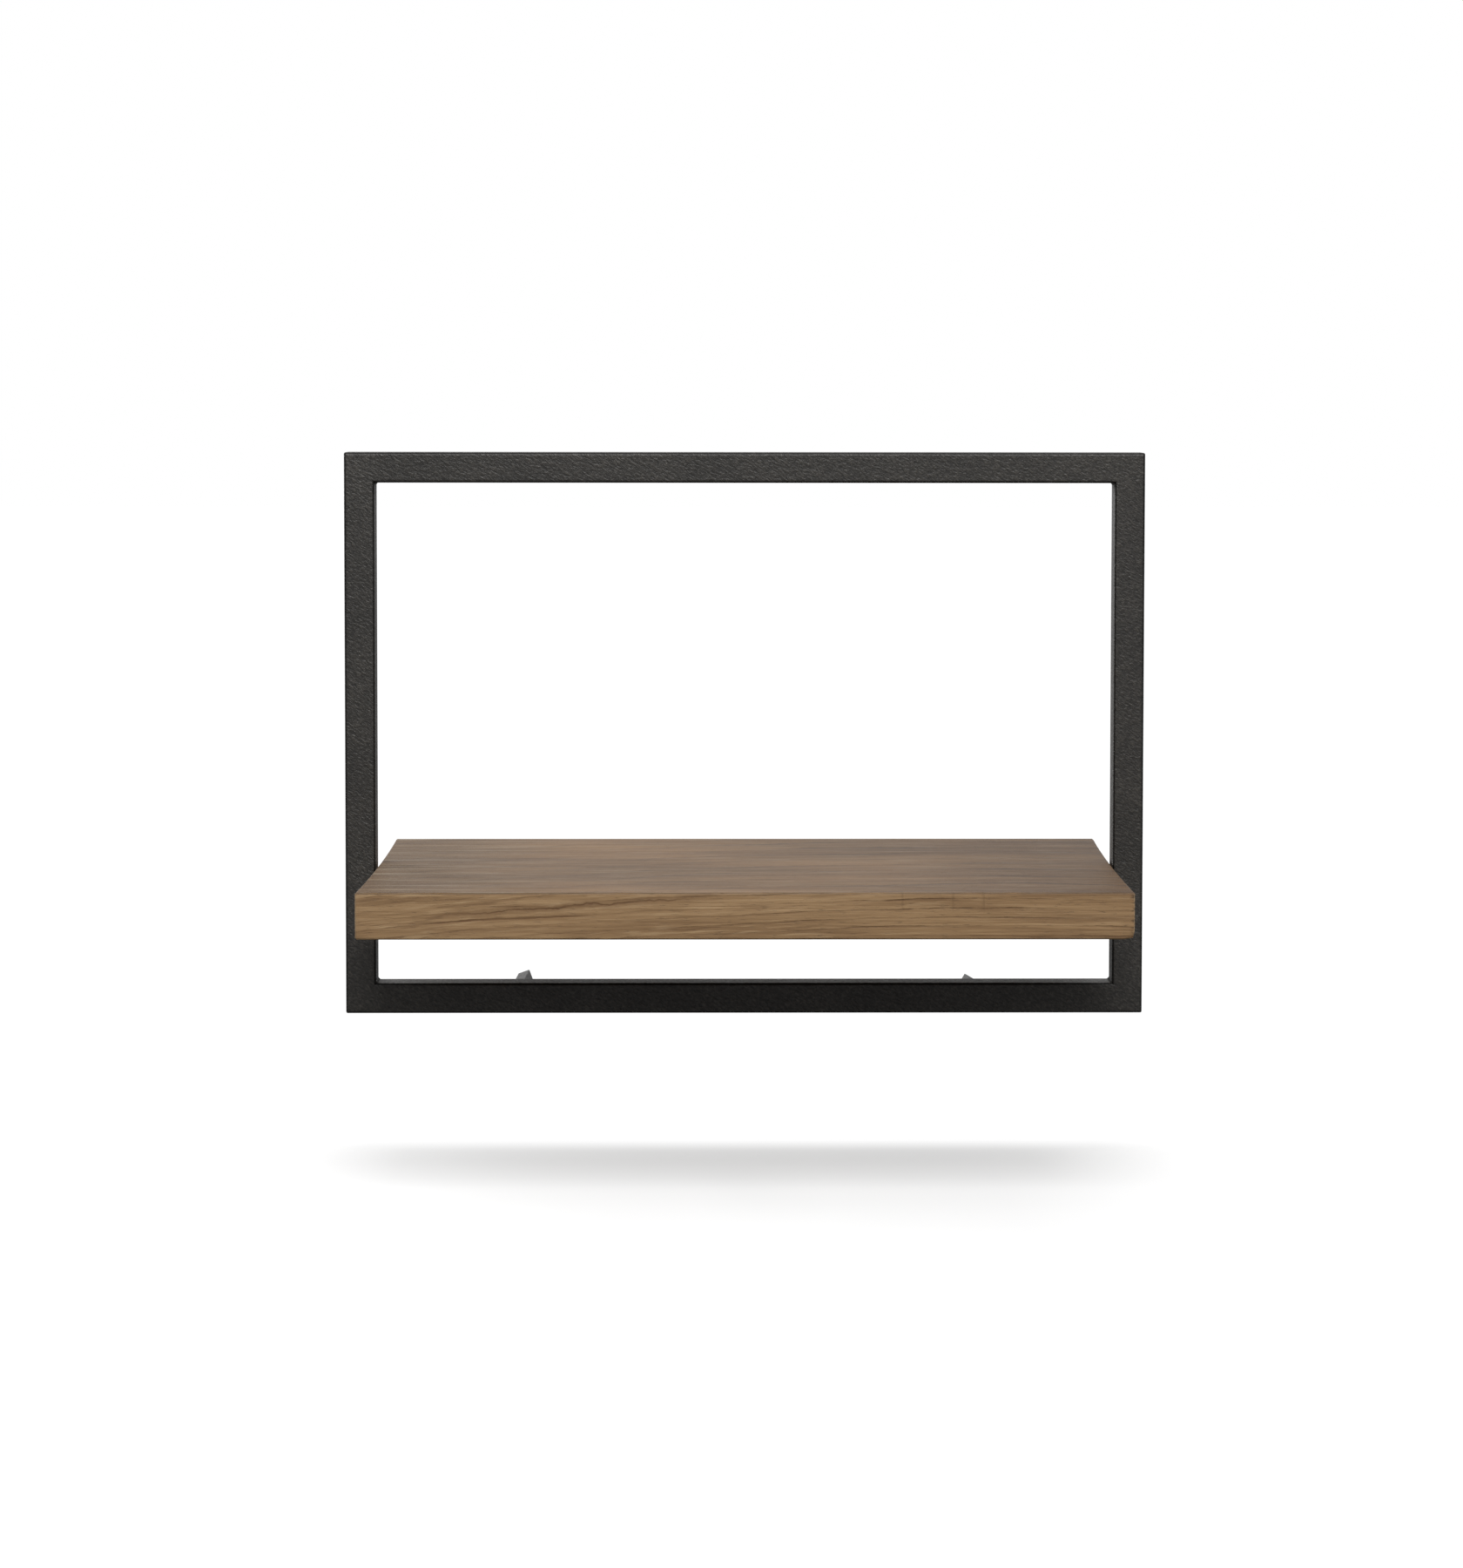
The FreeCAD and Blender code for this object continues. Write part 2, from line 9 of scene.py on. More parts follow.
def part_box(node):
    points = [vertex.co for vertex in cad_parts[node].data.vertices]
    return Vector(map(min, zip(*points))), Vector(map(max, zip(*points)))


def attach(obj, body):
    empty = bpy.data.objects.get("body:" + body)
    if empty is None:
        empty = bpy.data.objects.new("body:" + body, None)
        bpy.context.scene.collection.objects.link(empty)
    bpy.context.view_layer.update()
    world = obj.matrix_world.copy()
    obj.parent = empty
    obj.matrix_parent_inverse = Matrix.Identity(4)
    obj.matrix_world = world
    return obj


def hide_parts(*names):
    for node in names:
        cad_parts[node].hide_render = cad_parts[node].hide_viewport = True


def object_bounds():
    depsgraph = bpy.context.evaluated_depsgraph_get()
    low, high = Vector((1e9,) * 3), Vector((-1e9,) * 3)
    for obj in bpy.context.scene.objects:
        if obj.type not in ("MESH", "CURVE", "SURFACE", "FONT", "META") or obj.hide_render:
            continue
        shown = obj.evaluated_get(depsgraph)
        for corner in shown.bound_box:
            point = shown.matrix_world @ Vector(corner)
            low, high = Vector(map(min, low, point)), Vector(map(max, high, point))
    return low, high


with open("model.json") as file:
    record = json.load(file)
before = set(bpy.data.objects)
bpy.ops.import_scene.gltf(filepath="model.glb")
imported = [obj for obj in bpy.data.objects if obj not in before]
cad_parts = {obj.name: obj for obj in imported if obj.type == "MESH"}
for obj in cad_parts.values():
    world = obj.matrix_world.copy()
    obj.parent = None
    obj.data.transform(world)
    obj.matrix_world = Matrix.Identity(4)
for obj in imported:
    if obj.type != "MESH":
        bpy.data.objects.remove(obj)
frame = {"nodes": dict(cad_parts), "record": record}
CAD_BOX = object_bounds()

MM = 0.001
NODES = frame["nodes"]


# Camera ----------------------------------------------------------------------------------------

CAMERA_X = -28.0 * MM
CAMERA_BACK, CAMERA_RISE = 2.070, 0.298      # in front of the board's front edge, above its top
HEADING, DIP, TILT = 0.0103, 0.0485, 0.001   # to the right, downward and about the view, radians
LENS_LENGTH, SENSOR_WIDTH = 81.09, 36        # millimetres
LENS_SHIFT = (-0.0031, -0.1441)


def make_camera():
    """A long lens a little above the board, turned slightly to the right and tipped down."""
    board_low, board_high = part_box("shelf_board")
    spot = Vector((CAMERA_X, board_low.y - CAMERA_BACK, board_high.z + CAMERA_RISE))
    right = Vector((math.cos(HEADING), -math.sin(HEADING), 0))
    ahead = Vector((math.sin(HEADING), math.cos(HEADING), 0))
    up = Vector((0, 0, 1))
    forward = ahead * math.cos(DIP) - up * math.sin(DIP)
    above = ahead * math.sin(DIP) + up * math.cos(DIP)
    side = right * math.cos(TILT) + above * math.sin(TILT)
    above = above * math.cos(TILT) - right * math.sin(TILT)
    turn = Matrix((side, above, -forward)).transposed().to_4x4()
    data = bpy.data.cameras.new("camera")
    data.lens = LENS_LENGTH
    data.sensor_width = SENSOR_WIDTH
    data.shift_x, data.shift_y = LENS_SHIFT
    camera = bpy.data.objects.new("camera", data)
    camera.matrix_world = Matrix.Translation(spot) @ turn
    bpy.context.scene.collection.objects.link(camera)
    bpy.context.scene.camera = camera


# Node helpers ----------------------------------------------------------------------------------

class Graph:
    """A short way to write a material's nodes."""

    def __init__(self, name):
        self.material = bpy.data.materials.new(name)
        self.material.use_nodes = True
        self.tree = self.material.node_tree
        self.tree.nodes.clear()
        self.shader = self.node("ShaderNodeBsdfPrincipled")
        self.output = self.node("ShaderNodeOutputMaterial")
        self.link(self.shader.outputs["BSDF"], self.output.inputs["Surface"])
        self.place = self.node("ShaderNodeTexCoord").outputs["Object"]

    def node(self, kind, **settings):
        made = self.tree.nodes.new(kind)
        for key, value in settings.items():
            setattr(made, key, value)
        return made

    def link(self, source, target):
        self.tree.links.new(source, target)

    def feed(self, target, value):
        """Join a socket to another, or set its number."""
        if isinstance(value, bpy.types.NodeSocket):
            self.link(value, target)
        elif value is not None:
            target.default_value = value

    def stretched(self, scale, shift=(0, 0, 0), source=None):
        """The object's coordinates, scaled per axis."""
        mapping = self.node("ShaderNodeMapping")
        self.feed(mapping.inputs["Vector"], source or self.place)
        mapping.inputs["Scale"].default_value = scale
        mapping.inputs["Location"].default_value = shift
        return mapping.outputs["Vector"]

    def noise(self, scale, shift=(0, 0, 0), detail=3.0, rough=0.5, source=None, distort=0.0):
        """Noise from 0 to 1, of about that many waves a metre along each axis."""
        made = self.node("ShaderNodeTexNoise")
        self.link(self.stretched(scale, shift, source), made.inputs["Vector"])
        made.inputs["Scale"].default_value = 1.0
        made.inputs["Detail"].default_value = detail
        made.inputs["Roughness"].default_value = rough
        made.inputs["Distortion"].default_value = distort
        return made.outputs["Fac"]

    def math(self, operation, a, b=None):
        made = self.node("ShaderNodeMath", operation=operation)
        for socket, value in zip(made.inputs, (a, b)):
            self.feed(socket, value)
        return made.outputs["Value"]

    def add(self, *values):
        total = values[0]
        for value in values[1:]:
            total = self.math("ADD", total, value)
        return total

    def minus(self, a, b):
        return self.math("SUBTRACT", a, b)

    def times(self, *values):
        total = values[0]
        for value in values[1:]:
            total = self.math("MULTIPLY", total, value)
        return total

    def larger(self, a, b):
        return self.math("MAXIMUM", a, b)

    def distance(self, value, centre):
        """How far a value is from a centre, either way."""
        return self.math("ABSOLUTE", self.minus(value, centre))

    def swing(self, value, reach):
        """A noise made to swing about zero, by half its reach either way."""
        return self.times(self.minus(value, 0.5), reach)

    def span(self, value, low, high, to_low=0.0, to_high=1.0, smooth=False):
        """Map low..high onto to_low..to_high, clamped."""
        made = self.node("ShaderNodeMapRange", clamp=True)
        if smooth:
            made.interpolation_type = "SMOOTHSTEP"
        self.feed(made.inputs["Value"], value)
        made.inputs["From Min"].default_value = low
        made.inputs["From Max"].default_value = high
        made.inputs["To Min"].default_value = to_low
        made.inputs["To Max"].default_value = to_high
        return made.outputs["Result"]

    def ramp(self, value, stops):
        made = self.node("ShaderNodeValToRGB")
        self.feed(made.inputs["Fac"], value)
        elements = made.color_ramp.elements
        while len(elements) < len(stops):
            elements.new(0.5)
        for element, (position, colour) in zip(elements, stops):
            element.position = position
            element.color = (*colour, 1)
        return made.outputs["Color"]

    def mix(self, amount, first, second, blend="MIX"):
        made = self.node("ShaderNodeMix", data_type="RGBA", blend_type=blend)
        self.feed(made.inputs["Factor"], amount)
        for name, value in (("A", first), ("B", second)):
            socket = [s for s in made.inputs if s.name == name and s.type == "RGBA"][0]
            self.feed(socket, (*value, 1) if isinstance(value, tuple) else value)
        return [s for s in made.outputs if s.type == "RGBA"][0]

    def bump(self, height, distance, strength, under=None):
        made = self.node("ShaderNodeBump")
        made.inputs["Strength"].default_value = strength
        made.inputs["Distance"].default_value = distance
        self.feed(made.inputs["Height"], height)
        if under is not None:
            self.link(under, made.inputs["Normal"])
        return made.outputs["Normal"]

    def facing(self):
        """The surface's own direction, in the object's axes."""
        return self.node("ShaderNodeTexCoord").outputs["Normal"]

    def part(self, vector, axis):
        made = self.node("ShaderNodeSeparateXYZ")
        self.link(vector, made.inputs["Vector"])
        return made.outputs[axis]


# Materials -------------------------------------------------------------------------------------

PAINT = [
    (0.0, (0.0093, 0.0084, 0.0073)),
    (0.5, (0.0232, 0.0210, 0.0182)),
    (1.0, (0.0535, 0.0485, 0.0417)),
]
# Dark colour on the frame's arrises: a painted dark reflection of the surroundings.
PAINTED_DARK_REFLECTION_ON_ARRIS = (0.0020, 0.0019, 0.0017)
PEBBLE_SLANT = math.radians(-35)


def powder_coat(name):
    """Charcoal powder coat with a fine pebbled skin, and a painted dark reflection on its arrises
    except the rear bars'.
    """
    g = Graph(name)
    turned = g.node("ShaderNodeMapping")
    g.link(g.place, turned.inputs["Vector"])
    turned.inputs["Rotation"].default_value = (0, PEBBLE_SLANT, 0)
    pebble = g.noise((400, 620, 820), detail=2.0, rough=0.55, distort=0.6,
                     source=turned.outputs["Vector"])
    grit = g.noise((2400, 2400, 2400), shift=(3, 1, 7), detail=2.0)
    cloud = g.noise((28, 28, 28), shift=(11, 4, 2), detail=3.0)
    tone = g.add(g.times(pebble, 0.75), g.times(grit, 0.25), g.times(cloud, 0.25))
    colour = g.ramp(g.span(tone, 0.455, 0.835), PAINT)

    facing = g.facing()
    squarest = 0.0
    for axis in "XYZ":
        squarest = g.larger(g.math("ABSOLUTE", g.part(facing, axis)), squarest)
    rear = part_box("top_rail")[1].y
    on_frame = g.span(g.part(g.place, "Y"), rear, rear + 0.5 * MM, 1.0, 0.0)
    # Painted dark reflection: the rounded arrises are darkened, except on the rear bars.
    arris = g.times(g.span(squarest, 0.80, 0.97, 1.0, 0.0), on_frame)
    colour = g.mix(g.times(arris, 0.85), colour, PAINTED_DARK_REFLECTION_ON_ARRIS)

    g.feed(g.shader.inputs["Base Color"], colour)
    g.feed(g.shader.inputs["Specular IOR Level"], g.span(arris, 0.0, 1.0, 0.50, 0.10))
    g.feed(g.shader.inputs["Roughness"], g.span(tone, 0.4, 0.75, 0.62, 0.46))
    skin = g.bump(pebble, 0.60 * MM, 0.95)
    g.feed(g.shader.inputs["Normal"], g.bump(grit, 0.10 * MM, 0.5, under=skin))
    return g.material


# The board's growth layers rise to a crest on the right and stand 5.6 mm apart. A layer's number
# is its height above the board's middle at the crest, on the front face. On the left one layer is
# dark and ragged, with a thin dark streak below it. Each run is where the dark fades in, then out.
CREST_X, CREST_BEND = 0.150, 0.14
LAYER_TILT, LAYER_STEP = 0.20, 5.6 * MM
DARK_LAYER, DARK_STREAK = 15.2 * MM, 7.5 * MM
DARK_LAYER_RUN = ((-0.200, -0.165), (-0.050, -0.015))
DARK_STREAK_RUN = ((-0.200, -0.175), (-0.110, -0.080))
STREAK_TILT = 0.020
LINE_CORE = 0.2 * MM                    # half the width over which a dark line is at its full
SAW_MARKS = (0.0915, 0.1215, 0.1395)    # X of each faint mark on the front edge's upper half
NICKED_END = (0.2258, 0.2280)           # from sound wood to the nicked right end
FRONT_FADE = (4.0 * MM, 12.0 * MM)      # behind the front edge, where its figure ends

# Heartwood from its darkest streaks to its palest, and what lies over it.
WOOD = [
    (0.0, (0.169, 0.097, 0.046)),
    (0.45, (0.268, 0.166, 0.082)),
    (1.0, (0.398, 0.265, 0.143)),
]
CLOUDED = (0.150, 0.084, 0.040)
PALE_FLECK, DARK_FLECK = (0.430, 0.300, 0.170), (0.110, 0.058, 0.027)
LATE_WOOD, VEIN = (0.070, 0.033, 0.014), (0.086, 0.038, 0.015)
OPEN_PORE, SAWN, NICKED = (0.070, 0.040, 0.020), (0.080, 0.045, 0.022), (0.052, 0.031, 0.018)
# Pale colour of the upright arrises: partly rubbed wear, partly a painted highlight.
RUBBED_AND_HIGHLIGHT = (0.420, 0.320, 0.215)

# The greys that the top's wood is multiplied by, partly grey from use and partly painted shade on
# the faces that look up, and what lies over it.
TOP_GREY_AND_SHADE, TOP_PALE_AND_SHADE = (0.256, 0.222, 0.175), (0.365, 0.317, 0.252)
TOP_RIGHT, TOP_LEFT = (0.226, 0.179, 0.104), (0.216, 0.176, 0.110)
BLEACHED, DULL, BRIGHT = (0.174, 0.139, 0.096), (0.068, 0.049, 0.031), (0.171, 0.134, 0.092)
# Painted shade along the rounded arrises where the top turns down.
TOP_ARRIS_SHADE = (0.045, 0.028, 0.017)


class Wood(Graph):
    """The board's material, with what its features share: places, growth layers and streaks."""

    def __init__(self, name):
        super().__init__(name)
        self.along, self.depth, self.height = (self.part(self.place, axis) for axis in "XYZ")
        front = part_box("shelf_board")[0].y
        fade_start, fade_end = (front + d for d in FRONT_FADE)
        self.on_front = self.span(self.depth, fade_start, fade_end, 1.0, 0.0)

        off_crest = self.minus(self.along, CREST_X)
        arch = self.times(off_crest, off_crest, CREST_BEND)
        slant = self.times(self.minus(self.depth, front), LAYER_TILT)
        wander = self.noise((7, 16, 30), shift=(1.7, 4.0, 0.3), detail=1.0)
        waver = self.noise((30, 60, 120), shift=(5.2, 1.1, 8.4))
        ragged = self.noise((230, 500, 700), shift=(2.0, 6.0, 1.0), rough=0.6)
        self.layer = self.add(self.height, arch, slant, self.swing(wander, 5.2 * MM),
                              self.swing(waver, 2.2 * MM), self.swing(ragged, 0.7 * MM))
        self.ring = self.math("FRACT", self.math("DIVIDE", self.layer, LAYER_STEP))

        self.streak = self.noise((13, 900, 900), shift=(4.0, 2.0, 9.0), detail=4.0, rough=0.62)
        self.fibre = self.noise((55, 2600, 2600), shift=(2.0, 7.0, 4.0), detail=2.0)
        pores = self.noise((150, 3000, 3000), shift=(1.0, 5.0, 3.0), detail=1.0)
        self.pits = self.span(pores, 0.64, 0.74, smooth=True)

    def line(self, gap, half_width, strength=1.0):
        """A soft line where a gap is nearly nothing, full in its core and gone at its border."""
        return self.span(gap, LINE_CORE, half_width, strength, 0.0, smooth=True)

    def run(self, fade_in, fade_out):
        """1 along a stretch of the board, with a soft start and end."""
        return self.times(self.span(self.along, *fade_in, smooth=True),
                          self.span(self.along, *fade_out, 1.0, 0.0, smooth=True))

    def late_wood(self):
        """The dark line of each growth ring: broken, faint in places and weaker to the left."""
        line = self.span(self.ring, 0.80, 0.93, smooth=True)
        dashes = self.noise((62, 900, 900), shift=(6.0, 2.0, 5.0), detail=3.0, rough=0.6)
        presence = self.noise((9, 30, 160), shift=(8.0, 1.0, 3.0), detail=2.0)
        return self.times(line, self.span(dashes, 0.40, 0.50, 0.30, 1.0),
                          self.span(presence, 0.38, 0.56, 0.10, 1.0, smooth=True),
                          self.span(self.along, -0.10, 0.06, 0.35, 0.95))

    def veins(self):
        """The dark ragged layer, with a soft border, and the thin dark streak."""
        jog = self.noise((46, 1, 10), shift=(3.1, 0.0, 2.0), detail=3.0, rough=0.65)
        gap = self.distance(self.add(self.layer, self.swing(jog, 6.2 * MM)), DARK_LAYER)
        dark_layer = self.times(self.larger(self.line(gap, 0.8 * MM),
                                            self.line(gap, 3.6 * MM, strength=0.50)),
                                self.run(*DARK_LAYER_RUN))
        gap = self.distance(self.add(self.layer, self.times(self.along, STREAK_TILT)),
                            DARK_STREAK)
        dark_streak = self.times(self.line(gap, 0.9 * MM), self.run(*DARK_STREAK_RUN))
        return self.times(self.larger(dark_layer, dark_streak), self.on_front,
                          self.span(self.streak, 0.36, 0.56, 0.45, 1.0))

    def flecks(self):
        """Clouded patches, pale flecks and dark flecks, which follow the growth layers."""
        follow = self.node("ShaderNodeCombineXYZ")
        for socket, value in zip(follow.inputs, (self.along, self.depth, self.layer)):
            self.feed(socket, value)
        flecks = self.noise((30, 300, 520), shift=(4.3, 1.9, 7.7), detail=2.0, rough=0.55,
                            source=follow.outputs["Vector"])
        patch = self.noise((8, 40, 110), shift=(1.3, 5.9, 2.7), detail=2.0)
        lively = self.times(self.on_front, self.span(patch, 0.36, 0.58, 0.30, 1.0),
                            self.span(self.along, -0.02, 0.06, 1.0, 0.55))
        clouded = self.times(self.on_front,
                             self.span(patch, 0.50, 0.72, 0.0, 0.40, smooth=True))
        pale = self.times(self.span(flecks, 0.45, 0.34, smooth=True), lively)
        dark = self.times(self.span(flecks, 0.54, 0.66, smooth=True), lively)
        return clouded, pale, dark

    def saw_marks(self):
        """Faint upright lines on the upper half of the front edge."""
        marks = 0.0
        for spot in SAW_MARKS:
            beside = self.distance(self.along, spot)
            marks = self.add(self.span(beside, 0.3 * MM, 0.9 * MM, 1.0, 0.0), marks)
        return self.times(marks, self.on_front, self.span(self.height, 1.0 * MM, 6.0 * MM))

    def nicks(self):
        """Dark chips in the front edge, at its right end."""
        chips = self.noise((150, 1, 620), shift=(2.0, 1.0, 5.5), detail=1.0)
        near_end = self.times(self.span(self.along, *NICKED_END, smooth=True), self.on_front)
        return self.times(self.span(chips, 0.52, 0.58), near_end)

    def covered(self, colour, covers):
        """A colour under others, each laid over by its amount."""
        for amount, over in covers:
            colour = self.mix(amount, colour, over)
        return colour

    def greyed_and_shaded(self, colour):
        """The faces that look up, made darker and grey partly by use and partly as painted shade,
        with a painted shade line along the top's arrises.
        """
        rise = self.part(self.facing(), "Z")
        upward = self.span(rise, 0.3, 0.95)
        shade = self.noise((5.0, 22, 1), shift=(2.0, 9.0, 1.0), detail=2.0)
        grey = self.mix(self.span(shade, 0.36, 0.62), TOP_GREY_AND_SHADE, TOP_PALE_AND_SHADE)
        grey = self.mix(self.span(self.along, 0.06, 0.20, smooth=True), grey, TOP_RIGHT)
        grey = self.mix(self.span(self.along, -0.10, -0.22, smooth=True), grey, TOP_LEFT)
        # Painted shade: the faces that look up are multiplied darker, on top of their grey from
        # use.
        colour = self.mix(upward, colour, grey, blend="MULTIPLY")

        bleach = self.noise((7, 130, 1), shift=(3.3, 8.1, 1.0), detail=3.0, rough=0.6)
        bleach = self.times(self.span(bleach, 0.50, 0.66, smooth=True), upward,
                            self.span(self.along, -0.10, -0.17, 0.10, 1.0, smooth=True))
        brushed = self.noise((22, 360, 1), shift=(6.1, 2.2, 1.0), detail=3.0, rough=0.6)
        dull = self.times(self.span(brushed, 0.54, 0.68, smooth=True), upward)
        bright = self.times(self.span(brushed, 0.46, 0.34, smooth=True), upward)
        # Painted shade: a dark line where the top's rounded arrises turn down.
        arris = self.times(self.span(rise, 0.15, 0.35), self.span(rise, 0.75, 0.95, 1.0, 0.0))
        return self.covered(colour, [
            (self.times(bleach, 0.40), BLEACHED),
            (self.times(dull, 0.30), DULL),
            (self.times(bright, 0.30), BRIGHT),
            (self.times(arris, 0.62), TOP_ARRIS_SHADE),
        ])


def hardwood(name):
    """Oiled teak-like wood with open pores, darker toward its right end as painted shade; the
    faces that look up are grey from use and darkened by painted shade.
    """
    g = Wood(name)
    late, vein, marks = g.late_wood(), g.veins(), g.saw_marks()
    clouded, pale_fleck, dark_fleck = g.flecks()
    broad = g.noise((3.4, 60, 60), shift=(7.0, 3.0, 2.0), detail=2.0)
    worn = g.node("ShaderNodeAttribute", attribute_name="worn").outputs["Fac"]

    # The tone falls toward the right end: painted shade that evens out the key light from the
    # right.
    tone = g.add(g.times(g.streak, 0.50), g.times(broad, 0.42), g.times(g.fibre, 0.16),
                 g.times(g.ring, -0.05), g.times(g.along, -0.20))
    colour = g.covered(g.ramp(g.span(tone, 0.34, 0.72), WOOD), [
        (clouded, CLOUDED),
        (g.times(pale_fleck, 0.50), PALE_FLECK),
        (g.times(dark_fleck, 0.42), DARK_FLECK),
        (g.times(late, 0.80), LATE_WOOD),
        (g.times(vein, 0.85), VEIN),
        (g.times(g.pits, 0.40), OPEN_PORE),
        (g.times(marks, 0.20), SAWN),
        (g.times(g.nicks(), 0.60), NICKED),
        # Upright arrises: partly rubbed wear, partly a painted highlight.
        (g.times(worn, 0.70), RUBBED_AND_HIGHLIGHT),
    ])
    g.feed(g.shader.inputs["Base Color"], g.greyed_and_shaded(colour))
    g.feed(g.shader.inputs["Roughness"], g.span(g.streak, 0.3, 0.75, 0.66, 0.50))
    g.shader.inputs["Specular IOR Level"].default_value = 0.25
    relief = g.add(g.times(g.streak, 0.6), g.times(g.fibre, 0.5), g.times(g.pits, -0.8),
                   g.times(late, -0.35), g.times(vein, -0.4), g.times(marks, -0.7))
    g.feed(g.shader.inputs["Normal"], g.bump(relief, 0.35 * MM, 0.5))
    return g.material


def zinc(name):
    """Dull zinc plating with a faint spangle and brushed scratches."""
    g = Graph(name)
    spangle = g.noise((380, 380, 380), detail=3.0)
    scratch = g.noise((90, 3200, 3200), detail=2.0)
    tone = g.add(g.times(spangle, 0.6), g.times(scratch, 0.4))
    g.feed(g.shader.inputs["Base Color"], g.ramp(tone, [
        (0.3, (0.42, 0.42, 0.40)), (0.7, (0.66, 0.66, 0.64)),
    ]))
    g.shader.inputs["Metallic"].default_value = 1.0
    g.feed(g.shader.inputs["Roughness"], g.span(tone, 0.3, 0.7, 0.48, 0.30))
    g.feed(g.shader.inputs["Normal"], g.bump(scratch, 0.04 * MM, 0.4))
    return g.material


def black_screw(name):
    """Black passivated steel, rubbed a little brighter in patches."""
    g = Graph(name)
    rubbed = g.noise((900, 900, 900), detail=3.0)
    g.feed(g.shader.inputs["Base Color"], g.ramp(rubbed, [
        (0.35, (0.020, 0.020, 0.021)), (0.75, (0.075, 0.073, 0.070)),
    ]))
    g.shader.inputs["Metallic"].default_value = 0.6
    g.feed(g.shader.inputs["Roughness"], g.span(rubbed, 0.3, 0.7, 0.52, 0.36))
    g.feed(g.shader.inputs["Normal"], g.bump(rubbed, 0.05 * MM, 0.4))
    return g.material


def dress_nodes():
    """Give every CAD node the material of its slot."""
    finishes = {
        "powder_coat": powder_coat("powder_coat"),
        "hardwood": hardwood("hardwood"),
        "zinc_plate": zinc("zinc_plate"),
        "black_screw": black_screw("black_screw"),
    }
    for entry in frame["record"]["subparts"]:
        mesh = NODES[entry["node"]].data
        mesh.materials.clear()
        mesh.materials.append(finishes[entry["material_slot"]])
    return finishes


# The board -------------------------------------------------------------------------------------

BOARD_HALF_WIDTH = 230.3 * MM  # at its front and rear ends
BOARD_MIDDLES = (-1.2 * MM, 1.9 * MM)  # middle of the front end and of the rear end
BOARD_HOLLOW = 1.7 * MM        # how far each side is hollowed at mid depth
BOARD_EASE = 1.0 * MM          # rounding of every arris
SKIN = 0.03 * MM               # how far the piece stays under the surface of its CAD solid
BOARD_STEPS = (3.4 * MM, 5.0 * MM, 1.0 * MM)  # about the size of a quad along each axis
FULL_ARRIS = 0.29              # 1 less the largest part of a normal at 45 degrees, about
CHATTER, CHATTER_REACH = 2.2 * MM, 3.0 * MM   # the right end's nicks: most depth, and reach inward
BLUNT, BLUNT_REACH = 2.0 * MM, 6.5 * MM       # the lower right front corner: depth, and reach


def spread_stops(low, high, step):
    """Places from low to high: close together at both arrises, about a step apart between."""
    near = [0.0, 0.2, 0.45, 0.7, 1.0, 1.6, 2.6]
    margins = [d * MM for d in near]
    first, last = low + margins[-1], high - margins[-1]
    count = max(1, round((last - first) / step))
    middle = [first + (last - first) * i / count for i in range(1, count)]
    return [low + d for d in margins] + middle + [high - d for d in reversed(margins)]


def wear_at(spot, normal, low, high):
    """How deep the board is worn at a place, and how pale its upright arrises are there, from
    rubbed wear and from a painted highlight.
    """
    arris = min(1.0, (1.0 - max(abs(c) for c in normal)) / FULL_ARRIS)
    plane = 0.5 + 0.5 * noise.noise(spot * 14.0)
    rub = 0.5 + 0.5 * noise.noise(spot * 45.0 + Vector((3, 1, 4)))
    dents = max(0.0, noise.noise(spot * 90.0 + Vector((9, 2, 6))) - 0.30) / 0.5
    depth = 0.08 * MM * plane + arris * (0.10 + 0.28 * rub + 0.75 * dents) * MM
    right_end = max(0.0, 1.0 - (high.x - spot.x) / CHATTER_REACH)
    chatter = max(0.0, noise.noise(Vector((spot.z * 620.0, spot.y * 160.0, 5.0))))
    depth += right_end * arris * CHATTER * chatter
    from_corner = (spot - Vector((high.x, low.y, low.z))).length
    depth += BLUNT * max(0.0, 1.0 - from_corner / BLUNT_REACH) ** 2
    upright_arris = 1.0 if abs(normal.z) < 0.3 else 0.0
    return depth, arris * upright_arris * min(1.0, 0.35 + rub * 0.8)


